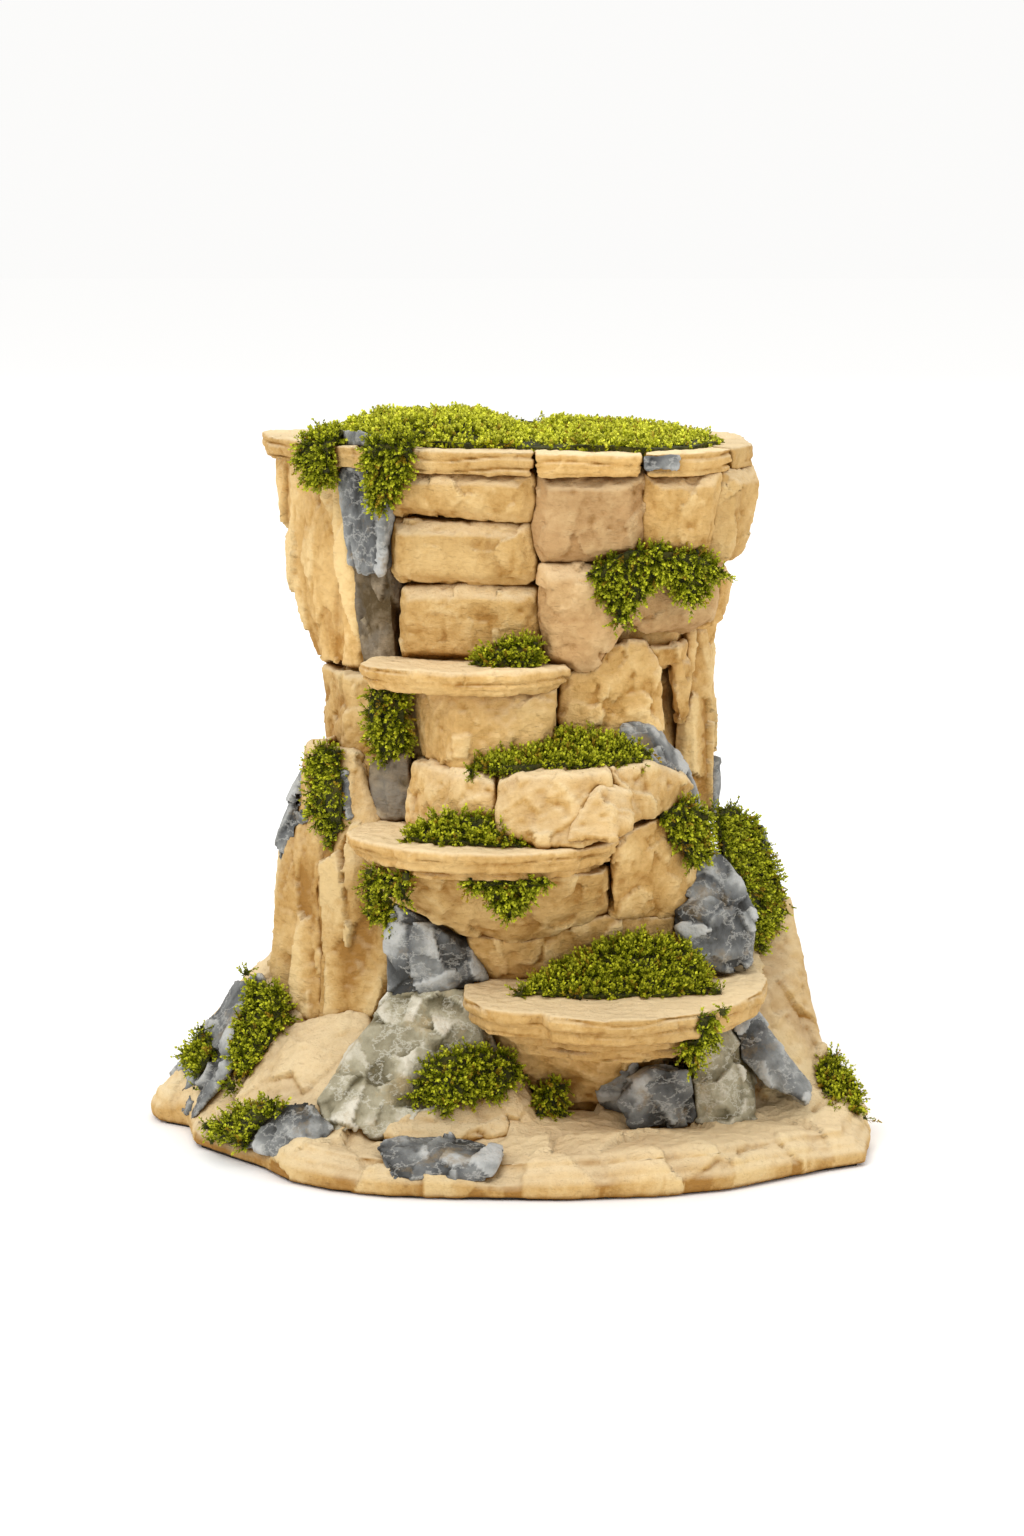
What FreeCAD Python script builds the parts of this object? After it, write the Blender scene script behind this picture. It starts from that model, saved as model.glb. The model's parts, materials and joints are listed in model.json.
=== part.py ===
import FreeCAD, Part
import Sketcher
import math
import os
from itertools import combinations

# Aquarium cave ornament: a rock tower cast in resin, faced with sandstone and slate pieces.
# Millimetres. X runs to the right, Y to the back and Z up. The origin is at the middle of the
# footprint, on the surface that the ornament stands on. The cave mouth is at the back (+Y).

doc = FreeCAD.newDocument("cave_ornament")
sheet = doc.addObject("Spreadsheet::Sheet", "Dimensions")
Vector = FreeCAD.Vector

MAT = 1.5                 # foam mat under the base
FLOOR = 10.0              # top of the base plate, the "beach"
SKIRT = 5.5               # height at which the slopes start, inside the base plate
WAIST_BASE = 88.0         # top of the trunk casting
CROWN_BASE = 128.5        # underside of the crown
CROWN_TOP = 184.0         # top of the crown wall, under the cap slabs
MOUTH_HALF = 22.0         # half the width of the cave mouth
MOUTH_SPRING = 30.0       # height at which the mouth's sides turn into its arch
CAVE_FRONT = -7.0         # the cave runs from here, behind the front wall of the trunk,
CAVE_REAR = 33.0          # to here, inside its rear wall
CAVE_ROOF = 72.0          # height of the cave inside the trunk
SEAM = 0.3                # glued seam between two shells of the trunk
PILLOW = 0.3              # how far a facing stone's face stands out, as a share of its depth
PILLOW_TAPER = -42.0      # slope of the worn edges round that face, in degrees
SAME_PLANE = 1e-6         # corners this close to a plane lie in it
TOUCH = 0.01              # a shared volume under this, in cubic millimetres, is only contact

# ---------------------------------------------------------------- slabs, in plan
# Each has its outline, the height of its underside, and its layers from the bottom up: the
# thickness of each and its scale about the middle.

footprint = [(-99.5, 3), (-97, -3), (-88, -9), (-85, -29), (-75, -41), (-65, -52), (-58, -64),
             (-46, -73), (-31, -79), (-9, -81.5), (14, -82.5), (40, -79), (58, -73), (86, -54),
             (97, -48), (99.5, -30), (99.5, -14), (96, 10), (90, 34), (74, 56), (50, 72),
             (20, 81), (0, 82.5), (-26, 80), (-54, 70), (-76, 54), (-91, 34), (-99, 16)]
cap_layers = [(2.6, 0.965), (3.2, 1.0)]
slabs = {
    "base_mat": ([(x * 0.975, y * 0.975) for x, y in footprint], 0.0, [(MAT, 1.0)]),
    "base_plate": (footprint, MAT, [(3.5, 1.0), (2.5, 0.975), (2.5, 0.94)]),
    "crown_deck": (
        [(-56, 40), (-48, 14), (-26, -4), (8, -15), (36, -17), (51, -8), (57, 6), (55, 28),
         (45, 45), (21, 55), (-14, 56), (-43, 49)], CROWN_TOP, [(4.0, 1.0)]),
    "cap_slab_front_left": (
        [(-31, -18), (-12, -25), (7.6, -30.5), (7.4, -6), (-24, 4)], CROWN_TOP, cap_layers),
    "cap_slab_front_centre": (
        [(8.4, -31.5), (24, -34), (36.2, -34), (36.6, -8), (8.2, -6)], CROWN_TOP, cap_layers),
    "cap_slab_front_right": (
        [(37.4, -33.6), (50, -29), (58, -21), (61, -15), (42, 2), (37.4, -7)], CROWN_TOP, cap_layers),
    "cap_slab_right_end": (
        [(61.6, -14), (67.8, 0), (66, 16), (52, 14), (43.6, 3)], CROWN_TOP, cap_layers),
    "cap_slab_left": (
        [(-68.5, 42), (-66, 27), (-54, 6), (-45, -6), (-32, -17), (-25, 5), (-46, 40), (-58, 49)],
        CROWN_TOP, cap_layers),
    "cap_slab_rear": (
        [(66.5, 17), (66, 32), (54, 54), (24, 67), (-18, 67), (-50, 58), (-57.6, 50), (-45, 41),
         (-14, 48), (20, 47), (44, 38), (52, 15)], CROWN_TOP, cap_layers),
    "upper_ledge": (
        [(-39.5, -19), (-37, -26), (-27, -34), (-12, -39.5), (3, -38), (13, -33), (17.5, -27),
         (16, -18), (8, -12), (-20, -6), (-34, -9)],
        126.2, [(1.9, 0.9), (2.1, 0.97), (2.3, 1.0)]),
    "middle_ledge": (
        [(-42.5, -30), (-41, -38), (-34, -48), (-24, -57), (-12, -62), (4, -61.5), (18, -57),
         (28, -47), (31.5, -36), (30, -18), (20, -12), (-30, -10), (-39, -20)],
        80.0, [(2.4, 0.84), (2.6, 0.95), (3.0, 1.0)]),
    "lower_ledge": (
        [(-10.5, -36), (-11, -48), (-6, -62), (2, -67), (9.5, -67.5), (12, -73), (25, -77),
         (38, -75), (52, -68), (62, -56), (69, -42), (71.5, -26), (68, -8), (48, -8), (0, -20)],
        33.0, [(3.4, 0.66), (3.4, 0.76), (3.6, 0.96), (3.6, 1.0)]),
}

# ---------------------------------------------------------------- shells
# The trunk is cast in shells round the cave, and the hill behind it in a left and a right half.
# Each shell is what lies within a box: its lowest corner, and its length, width and height.

WIDE = 100.0              # well outside the ornament
shells = {
    "left": ((-WIDE, -WIDE, 0), (WIDE - MOUTH_HALF - SEAM, 2 * WIDE, WAIST_BASE)),
    "right": ((MOUTH_HALF + SEAM, -WIDE, 0), (WIDE - MOUTH_HALF - SEAM, 2 * WIDE, WAIST_BASE)),
    "front": ((-MOUTH_HALF, -WIDE, 0), (2 * MOUTH_HALF, WIDE + CAVE_FRONT, WAIST_BASE)),
    "roof": ((-MOUTH_HALF, CAVE_FRONT + SEAM, CAVE_ROOF),
             (2 * MOUTH_HALF, WIDE, WAIST_BASE - CAVE_ROOF)),
    "rear": ((-MOUTH_HALF, CAVE_REAR, FLOOR), (2 * MOUTH_HALF, WIDE, CAVE_ROOF - SEAM - FLOOR)),
}

# ---------------------------------------------------------------- facing stones
# Each has the lower left corner of its face, its width, height and depth, its yaw about Z, its
# forward lean, the taper of its heel, and the outline of its face in fractions of its width and
# height.

blocks = {
    "crown_stone_left_top": (
        (-32.5, -15.5, 170.8), (41.8, 13.2, 12), -17.5, 7, 0.0,
        [(0.0, 0.04), (0.97, 0.0), (1.0, 0.3), (0.985, 1.0), (0.01, 1.0)]),
    "crown_stone_left_middle": (
        (-31.6, -13.6, 153.4), (41.0, 16.9, 12), -17.0, 7, 0.0,
        [(0.06, 0.0), (0.93, 0.0), (1.0, 0.13), (0.985, 0.55), (0.97, 1.0), (0.02, 0.98),
         (0.0, 0.6), (0.01, 0.15)]),
    "crown_stone_left_bottom": (
        (-29.2, -11.6, 131.8), (40.2, 21.3, 12), -15.5, 7, 0.0,
        [(0.02, 0.0), (0.98, 0.0), (1.0, 0.5), (0.96, 0.97), (0.5, 1.0), (0.03, 0.93), (0.0, 0.5)]),
    "crown_stone_centre_top": (
        (6.8, -27.3, 159.8), (30.2, 24.2, 14), -5.5, 7, 0.0,
        [(0.1, 0.0), (0.55, 0.02), (0.98, 0.08), (0.99, 0.4), (1.0, 1.0), (0.06, 1.0),
         (0.045, 0.62), (0.0, 0.42), (0.03, 0.15)]),
    "crown_stone_centre_bottom": (
        (8.9, -24.2, 129.8), (24.6, 30.0, 13), -3.0, 7, 0.0,
        [(0.06, 0.1), (0.42, 0.0), (0.64, 0.04), (0.76, 0.2), (1.0, 0.48), (1.0, 0.94), (0.5, 1.0),
         (0.02, 0.97), (0.0, 0.5)]),
    "crown_stone_right_top": (
        (37.1, -29.6, 160.6), (23.2, 23.4, 14), 24.5, 8, 0.0,
        [(0.02, 0.1), (0.5, 0.0), (0.93, 0.03), (0.97, 0.5), (1.0, 1.0), (0.0, 1.0)]),
    "crown_stone_right_bottom": (
        (31.8, -24.6, 138.6), (31.0, 22.0, 14), 27.0, 8, 0.0,
        [(0.05, 0.25), (0.3, 0.05), (0.7, 0.0), (0.93, 0.15), (1.0, 0.45), (0.99, 1.0),
         (0.2, 0.98), (0.04, 0.85), (0.0, 0.5)]),
    "crown_corner_stone": (
        (57.8, -17.5, 157.0), (22.6, 27.0, 14), 66.0, 10, 0.0,
        [(0.08, 0.0), (0.8, 0.0), (0.95, 0.35), (1.0, 0.7), (1.0, 1.0), (0.0, 1.0), (0.0, 0.3)]),
    "crown_lower_side_stone_0": (
        (58.2, -10.5, 139.5), (19.0, 17.2, 12), 82.0, 8, 0.0,
        [(0.1, 0.0), (0.9, 0.0), (1.0, 0.5), (0.98, 1.0), (0.04, 1.0), (0.0, 0.45)]),
}

# The right side and the back of the crown: two courses of stones round a half ring. Each course
# has the height of its joint below, its height, and the ring that its faces stand on.
side_courses = {
    "upper": (157.0, 27.0, [(66.5, 4), (65, 30), (51, 53), (22, 64.5), (-18, 65), (-50, 56), (-64, 41)]),
    "lower": (130.0, 26.6, [(60, 9), (58, 30), (40, 48.5), (4, 54.5), (-34, 51), (-52, 36)]),
}
SIDE_LEAN = 10.0          # degrees that those courses lean out
SIDE_DROP = 3.0           # how much lower every other stone reaches
SIDE_JOINT = 0.8          # open joint between two of them
SIDE_INWARD = 0.10        # how far in a stone's foot stands, as a share of its height
SIDE_HEEL_TAPER = -31.0   # degrees that its heel draws in, clear of its neighbours
side_outline = [(0.02, 0.06), (0.4, 0.0), (0.97, 0.04), (1.0, 0.5), (0.98, 1.0), (0.03, 1.0),
                (0.0, 0.55)]
for course, (low, tall, ring) in side_courses.items():
    for i, (start, end) in enumerate(zip(ring, ring[1:])):
        reach = math.hypot(end[0] - start[0], end[1] - start[1]) - SIDE_JOINT
        turned = math.atan2(end[1] - start[1], end[0] - start[0])
        drop = SIDE_DROP * (i % 2)
        inward = SIDE_INWARD * tall
        foot = (start[0] - inward * math.sin(turned), start[1] + inward * math.cos(turned), low - drop)
        blocks[f"crown_{course}_side_stone_{i + 1}"] = (
            foot, (round(reach, 1), tall + drop, 13), round(math.degrees(turned), 1), SIDE_LEAN,
            SIDE_HEEL_TAPER, side_outline)

# ---------------------------------------------------------------- driving dimensions


def box_of(points):
    """The lower left corner, the width and the depth of an outline in plan."""
    low_x = min(x for x, y in points)
    low_y = min(y for x, y in points)
    return low_x, low_y, max(x for x, y in points) - low_x, max(y for x, y in points) - low_y


def driving_dimensions():
    """Every size that drives a slab, a shell or a facing stone, by its name in the sheet."""
    sizes = {}
    for label, (points, _, layers) in slabs.items():
        _, _, sizes[f"{label}_width"], sizes[f"{label}_depth"] = box_of(points)
        for i, (thickness, _) in enumerate(layers):
            sizes[f"{label}_layer_{i + 1}_thickness"] = thickness
    for place, (_, (length, width, height)) in shells.items():
        sizes[f"{place}_shell_length"] = length
        sizes[f"{place}_shell_width"] = width
        sizes[f"{place}_shell_height"] = height
    for label, (_, (width, height, depth), *_) in blocks.items():
        sizes[f"{label}_width"] = width
        sizes[f"{label}_height"] = height
        sizes[f"{label}_depth"] = depth
    return sizes


for row, (name, size) in enumerate(driving_dimensions().items(), start=1):
    sheet.set(f"A{row}", name)
    sheet.set(f"B{row}", str(round(size, 3)))
    sheet.setAlias(f"B{row}", name)
doc.recompute()

# ---------------------------------------------------------------- helpers

placed = []               # finished pieces in the order they are set; later ones fit round them
nodes = {}                # finished sub-parts by name


def outline_sketch(body, role, name, outline, across, up, lift=0.0):
    """A closed outline on one of the body's origin planes, lifted off it by a distance.

    The outline is given in fractions of two of the sheet's dimensions, across and up, so that
    the whole shape follows those two cells."""
    sketch = body.newObject("Sketcher::SketchObject", name)
    plane = [item for item in body.Origin.OriginFeatures if item.Role == role][0]
    sketch.AttachmentSupport = [(plane, "")]
    sketch.MapMode = "FlatFace"
    sketch.AttachmentOffset = FreeCAD.Placement(Vector(0, 0, lift), FreeCAD.Rotation())
    corners = [Vector(u * sheet.get(across), v * sheet.get(up), 0) for u, v in outline]
    count = len(corners)
    for i in range(count):
        sketch.addGeometry(Part.LineSegment(corners[i], corners[(i + 1) % count]))
    for i in range(count):
        sketch.addConstraint(Sketcher.Constraint("Coincident", i, 2, (i + 1) % count, 1))
    for i, (u, v) in enumerate(outline):
        index = sketch.addConstraint(Sketcher.Constraint("DistanceX", -1, 1, i, 1, corners[i].x))
        sketch.setExpression(f"Constraints[{index}]", f"Dimensions.{across} * {u}")
        index = sketch.addConstraint(Sketcher.Constraint("DistanceY", -1, 1, i, 1, corners[i].y))
        sketch.setExpression(f"Constraints[{index}]", f"Dimensions.{up} * {v}")
    return sketch


def pad(body, sketch, name, length, taper=0.0, backwards=False):
    """Extrude a sketch by an expression; a negative taper draws the far face in."""
    extruded = body.newObject("PartDesign::Pad", name)
    extruded.Profile = sketch
    extruded.setExpression("Length", length)
    extruded.TaperAngle = taper
    extruded.Reversed = backwards
    return extruded


def turn(a, b, c):
    """Positive where the way from a through b to c turns left."""
    return (b[0] - a[0]) * (c[1] - b[1]) - (b[1] - a[1]) * (c[0] - b[0])


def flat_ring(corners, normal):
    """The corners of one flat face in order round it, without those that lie inside it."""
    across = (corners[1] - corners[0]).normalize()
    up = normal.cross(across)
    spots = sorted((corner.dot(across), corner.dot(up), i) for i, corner in enumerate(corners))
    ring = []
    for run in (spots, spots[::-1]):
        chain = []
        for spot in run:
            while len(chain) > 1 and turn(chain[-2], chain[-1], spot) <= SAME_PLANE:
                chain.pop()
            chain.append(spot)
        ring += chain[:-1]
    return [corners[i] for _, _, i in ring]


def hull(points):
    """The convex solid whose corners are the given points: one flat face for each plane that
    has every other point behind it."""
    corners = [Vector(*point) for point in points]
    faces = {}
    for a, b, c in combinations(corners, 3):
        normal = (b - a).cross(c - a)
        if normal.Length < SAME_PLANE:
            continue
        normal.normalize()
        heights = [(corner - a).dot(normal) for corner in corners]
        if max(heights) > SAME_PLANE:
            heights = [-height for height in heights]
            normal = -normal
        if max(heights) <= SAME_PLANE:
            faces[frozenset(i for i, height in enumerate(heights) if height >= -SAME_PLANE)] = normal
    sides = []
    for members, normal in faces.items():
        ring = flat_ring([corners[i] for i in members], normal)
        sides.append(Part.Face(Part.makePolygon(ring + ring[:1])))
    solid = Part.Solid(Part.Shell(sides))
    if solid.Volume < 0:
        solid.reverse()
    return solid


def ring_at(points, z):
    return [(x, y, z) for x, y in points]


def form(name, points):
    """A document object that holds the convex solid of some corners."""
    result = doc.addObject("Part::Feature", name)
    result.Shape = hull(points)
    return result


def finish(label, piece, full_form=None):
    """Name a finished piece and let the later ones fit round it, or round its full form where
    it is hollow, so that nothing reaches into the hollow."""
    piece.Label = label
    placed.append(full_form or piece)
    nodes[label] = piece


def bed(label, rough):
    """Trim a rough piece by every finished piece it runs into, so that it beds against them. Of
    a piece that the trimming splits, the largest part stays."""
    doc.recompute()
    shape = rough.Shape
    inside = [one for one in placed if one.Shape.BoundBox.intersect(shape.BoundBox)
              and one.Shape.common(shape).Volume > TOUCH]
    bedded = rough
    if inside:
        around = doc.addObject("Part::Compound", "around")
        around.Links = inside
        bedded = doc.addObject("Part::Cut", "bedded")
        bedded.Base = rough
        bedded.Tool = around
        doc.recompute()
    if len(bedded.Shape.Solids) > 1:
        solids = bedded.Shape.Solids
        bedded = doc.addObject("Part::Feature", "largest_part")
        bedded.Shape = max(solids, key=lambda solid: solid.Volume)
    finish(label, bedded)


def rock(label, points):
    """An irregular stone or a pad of moss, given by its corners."""
    bed(label, form("rough", points))


def group(label, members):
    """Small items of one kind that share a node."""
    together = doc.addObject("Part::Compound", "group")
    together.Links = [nodes.pop(member) for member in members]
    together.Label = label
    nodes[label] = together


def rocks(label, point_lists):
    members = [f"{label}_{i + 1}" for i in range(len(point_lists))]
    for member, points in zip(members, point_lists):
        rock(member, points)
    group(label, members)


def block(label):
    """A facing stone: a face with worn edges, and a heel behind it that goes into the wall."""
    corner, (_, _, depth), yaw, lean, heel_taper, outline = blocks[label]
    body = doc.addObject("PartDesign::Body", "stone")
    rim = outline_sketch(body, "XZ_Plane", "rim", outline, f"{label}_width", f"{label}_height")
    pad(body, rim, "face", f"Dimensions.{label}_depth * {PILLOW}", PILLOW_TAPER)
    pad(body, rim, "heel", f"Dimensions.{label}_depth", heel_taper, backwards=True)
    turned = FreeCAD.Rotation(Vector(0, 0, 1), yaw) * FreeCAD.Rotation(Vector(1, 0, 0), lean)
    proud = turned.multVec(Vector(0, PILLOW * depth, 0))
    body.Placement = FreeCAD.Placement(Vector(*corner) + proud, turned)
    bed(label, body)


def slab(label):
    """A layered slab, not yet bedded."""
    points, z, layers = slabs[label]
    low_x, low_y, width, depth = box_of(points)
    outline = [((x - low_x) / width, (y - low_y) / depth) for x, y in points]
    body = doc.addObject("PartDesign::Body", "slab")
    lift = 0.0
    for i, (thickness, scale) in enumerate(layers):
        ring = [(round(0.5 + (u - 0.5) * scale, 4), round(0.5 + (v - 0.5) * scale, 4))
                for u, v in outline]
        sketch = outline_sketch(body, "XY_Plane", f"layer_{i + 1}", ring, f"{label}_width",
                                f"{label}_depth", lift)
        pad(body, sketch, f"bed_{i + 1}", f"Dimensions.{label}_layer_{i + 1}_thickness")
        lift += thickness
    body.Placement = FreeCAD.Placement(Vector(low_x, low_y, z), FreeCAD.Rotation())
    return body


def shell(solid, place):
    """What lies of a solid within one of the shells' boxes, less the cave's mouth."""
    low, _ = shells[place]
    box = doc.addObject("Part::Box", "box")
    for side in ("Length", "Width", "Height"):
        box.setExpression(side, f"Dimensions.{place}_shell_{side.lower()}")
    box.Placement = FreeCAD.Placement(Vector(*low), FreeCAD.Rotation())
    within = doc.addObject("Part::Common", "within")
    within.Base = solid
    within.Tool = box
    return hollowed(within, mouth)


def hollowed(solid, hollow):
    cut = doc.addObject("Part::Cut", "casting")
    cut.Base = solid
    cut.Tool = hollow
    return cut


# ---------------------------------------------------------------- base

bed("base_mat", slab("base_mat"))
plate = slab("base_plate")
left_skirt = form("left_skirt", [
    (-94, 4, SKIRT), (-92, 16, SKIRT), (-85, -8, SKIRT), (-81, -27, SKIRT), (-71, -38, SKIRT),
    (-60, -48, SKIRT), (-46, -50, SKIRT), (-97, 5, 6.5), (-88, 9, 16), (-81, 11, 27), (-74, 13, 35),
    (-65, 6, 42), (-64, 26, 44), (-46, -16, 29), (-34, -20, 31), (-60, -34, 15), (-30, 10, 30)])
left_apron = form("left_apron", [
    (-78, -33, SKIRT), (-67, -48, SKIRT), (-56, -61, SKIRT), (-40, -66, SKIRT), (-28, -50, SKIRT),
    (-60, -44, 14), (-45, -51, 13.5), (-64, -14, 31), (-52, -19, 34), (-38, -22, 36), (-33, -32, 28),
    (-60, 0, SKIRT), (-30, -10, SKIRT)])
right_skirt = form("right_skirt", [
    (90, 14, SKIRT), (60, -32, SKIRT), (82, -28, SKIRT), (90, -12, 16), (88, 1, 19.5), (84, 5, 32),
    (81, 8, 47), (79.5, 11, 60), (72, 14, 73), (56, 6, 76), (50, -12, 50), (54, -20, 40),
    (60, -28, 20), (70, 40, 50), (50, 30, 60)])
right_toe = form("right_toe", [
    (94, -26, SKIRT + 1), (94, -10, SKIRT + 1), (91, 8, SKIRT + 1), (62, -42, SKIRT + 1),
    (83, -42, SKIRT + 1), (98.5, -20, 7.5), (92, -8, 15), (80, -26, 15), (64, -34, 13), (60, 0, 13),
    (88, 10, 14)])
rear_hill = form("rear_hill", (
    ring_at([(-88, 31), (-73, 50), (-52, 66), (-26, 75), (0, 77), (20, 76), (48, 68), (71, 52),
             (87, 31), (-62, 4), (62, 4)], SKIRT + 0.5)
    + ring_at([(-70, 38), (-44, 58), (0, 64), (42, 60), (72, 38)], 28)
    + ring_at([(-62, 30), (-34, 50), (0, 55), (34, 51), (66, 30), (-50, 4), (54, 4)], 45)))
hill = doc.addObject("Part::MultiFuse", "hill")
hill.Shapes = [plate, left_skirt, left_apron, right_skirt, right_toe]

# ---------------------------------------------------------------- hollow tower

trunk_solid = form("trunk_solid", (
    ring_at([(-56, -4), (-40, -14), (0, -22), (40, -20), (60, -8), (66, 20), (56, 44), (22, 56),
             (-22, 56), (-52, 42), (-60, 16)], FLOOR - 2)
    + ring_at([(-44, 4), (-32, -12), (0, -22), (36, -20), (50, -6), (54, 20), (44, 38), (16, 46),
               (-20, 46), (-42, 34)], WAIST_BASE)))
waist_solid = form("waist_solid", (
    ring_at([(-43, 8), (-26, -8), (8, -16), (36, -12), (47, 4), (52, 20), (44, 38), (16, 46),
             (-20, 46), (-42, 34)], WAIST_BASE)
    + ring_at([(-44, 8), (-26, -6), (8, -13), (36, -8), (46, 8), (50, 20), (40, 36), (12, 42),
               (-18, 42), (-42, 32)], CROWN_BASE)))
crown_wall = form("crown_wall", (
    ring_at([(-46, 24), (-34, 4), (-22, -4), (10, -12), (28, -12), (44, -4), (50, 14), (44, 34),
             (18, 42), (-18, 42), (-40, 34)], CROWN_BASE)
    + ring_at([(-58, 40), (-50, 14), (-28, -5), (8, -17), (36, -19), (52, -10), (58, 6), (57, 28),
               (46, 47), (22, 57), (-14, 58), (-44, 51)], CROWN_TOP)))

# The cave's arched mouth, from inside the trunk to behind the base.
arch = [(-MOUTH_HALF, FLOOR), (MOUTH_HALF, FLOOR), (MOUTH_HALF, MOUTH_SPRING),
        (16, 41), (7, 47), (-8, 48), (-17, 42), (-MOUTH_HALF, MOUTH_SPRING)]
mouth = form("mouth", [(x, y, z) for x, z in arch for y in (CAVE_REAR - 3, 90)])
well = form("well", (
    ring_at([(-38, 22), (-28, 8), (0, -2), (26, -2), (40, 14), (36, 30), (14, 36), (-16, 36)], CROWN_BASE + 4)
    + ring_at([(-48, 34), (-40, 14), (-22, 2), (10, -9), (34, -10), (48, 6), (48, 26), (20, 48),
               (-14, 49), (-38, 44)], CROWN_TOP + 1)))

for place in shells:
    nodes[f"trunk_{place}"] = shell(trunk_solid, place)
group("trunk_casting", [f"trunk_{place}" for place in shells])
placed.append(trunk_solid)
bed("base_casting", hollowed(hill, mouth))
for place in ("left", "right"):
    bed(f"rear_hill_{place}", shell(rear_hill, place))
group("rear_hills", ["rear_hill_left", "rear_hill_right"])
bed("waist_casting", waist_solid)
finish("crown_casting", hollowed(crown_wall, well), crown_wall)

# ---------------------------------------------------------------- cap, ledges and crown stones

for label in slabs:
    if label not in nodes and label != "base_plate":
        bed(label, slab(label))
for label in blocks:
    block(label)
for course in side_courses:
    group(f"crown_{course}_side_stones",
          [label for label in nodes if label.startswith(f"crown_{course}_side_stone_")])
rock("crown_left_stone", [
    (-65, 38, 184), (-60, 45, 184), (-53, 19, 184), (-44.5, 3.5, 184), (-34, 4, 184), (-63, 34.5, 170),
    (-60.5, 30, 155), (-42, 0, 158), (-52.5, 22.5, 128.6), (-48, 9, 128.6), (-39.5, 0, 128.6),
    (-30, 2, 128.6), (-44, 32, 128.6), (-50, 10, 160)])
rock("crown_seam_stone", [
    (-44, 3, 184), (-32.5, -10.5, 184), (-43, 1.5, 160), (-31.5, -10.5, 160), (-38.5, -3.5, 129),
    (-29.6, -8.4, 129), (-38, 10, 184), (-26, 0, 184), (-34, 6, 129), (-26, 2, 129)])
rock("slate_strip", [
    (-45.2, 2, 193.4), (-32.4, -18.5, 193), (-30.6, -17.5, 191), (-45, 1, 180), (-32, -17.5, 176),
    (-42.5, -3, 158), (-33.5, -14.5, 156.5), (-38, -8, 155), (-42, 6, 192), (-28, -12, 192),
    (-40, 4, 160), (-30, -8, 160)])

# ---------------------------------------------------------------- waist stones

rock("waist_left_pillar", [
    (-51, 18, 126.4), (-45, -1, 126.4), (-35, -8, 126.4), (-28, -4, 126.4), (-46, 30, 126.4),
    (-50.5, 18, 108), (-47, 8, 104), (-41, -9, 88), (-28, -12, 90), (-26, 4, 89), (-44, 24, 90)])
rock("waist_front_stone", [
    (-25, -13, 127), (-12.5, -31.5, 127), (13.5, -28, 126.5), (14, -8, 126), (-18, -4, 127),
    (-22.5, -15, 106.5), (-13, -33, 105), (8, -31.5, 110), (13, -28, 113), (13, -8, 108),
    (-18, -4, 106)])
rock("waist_stained_stone", [
    (-37, -11, 105), (-27, -17.5, 108), (-25, -16, 100), (-24, -19, 88.5), (-36, -13, 88.5),
    (-36, -2, 92), (-25, -6, 104), (-22, -10, 89)])
rock("waist_centre_panel", [
    (15.5, -20.5, 131), (26, -21, 137.5), (38, -16.5, 138.5), (41, -13, 132), (42.5, -12, 122),
    (41, -15, 110), (18, -21, 109), (14, -20, 118), (16, -8, 131), (38, -4, 137), (43, -2, 111),
    (18, -8, 109)])
rocks("niche_stones", [
    [(37, -14, 135.5), (47, -9.5, 135.5), (48, -8, 130.5), (38, -13, 130), (37, 2, 135.5),
     (50, 4, 135.5), (49, 4, 130.5), (38, 2, 130)],
    [(46.2, -4.5, 130), (50.6, -1.5, 130), (51, -1, 116), (47.6, -5, 113.5), (46.5, 5, 130),
     (51, 6, 130), (51, 6, 113), (47, 4, 113)]])
rock("waist_right_pillar", [
    (50.5, 3, 138), (56, 9.5, 138), (57, 24, 136), (48, 26, 138), (50, 2, 112), (56.6, 9, 112),
    (58, 26, 110), (49, 1, 87), (57.4, 8, 87), (58.5, 28, 87), (46, 28, 88)])
rocks("rear_wall_stones", [
    [(56, 27, 128), (57, 27, 90), (42.5, 43.5, 128), (43.5, 45, 90), (42.5, 28, 90), (42.5, 28, 128),
     (51, 40, 110)],
    [(41.2, 45, 128), (41.2, 47, 90), (6, 51, 128), (5.5, 53, 90), (8, 36, 90), (30, 32, 128),
     (20, 53, 108)],
    [(4.6, 50, 128), (3.6, 53, 90), (-30, 48, 128), (-31, 49, 90), (-24, 32, 90), (0, 34, 128),
     (-14, 54, 112)],
    [(-32, 47, 127), (-33, 48, 90), (-49, 31, 126), (-47, 31, 90), (-34, 24, 90), (-36, 22, 126),
     (-44, 42, 106)],
    [(-50, 34, 88), (-44, 47, 84), (-14, 57, 86), (-10, 45, 89), (-40, 30, 88), (-46, 46, 78),
     (-14, 55, 78)],
    [(12, 45, 86), (16, 58, 82), (44, 47, 80), (54, 30, 84), (44, 30, 86), (42, 47, 72), (16, 55, 72)]])

# ---------------------------------------------------------------- middle tier stones

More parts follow.
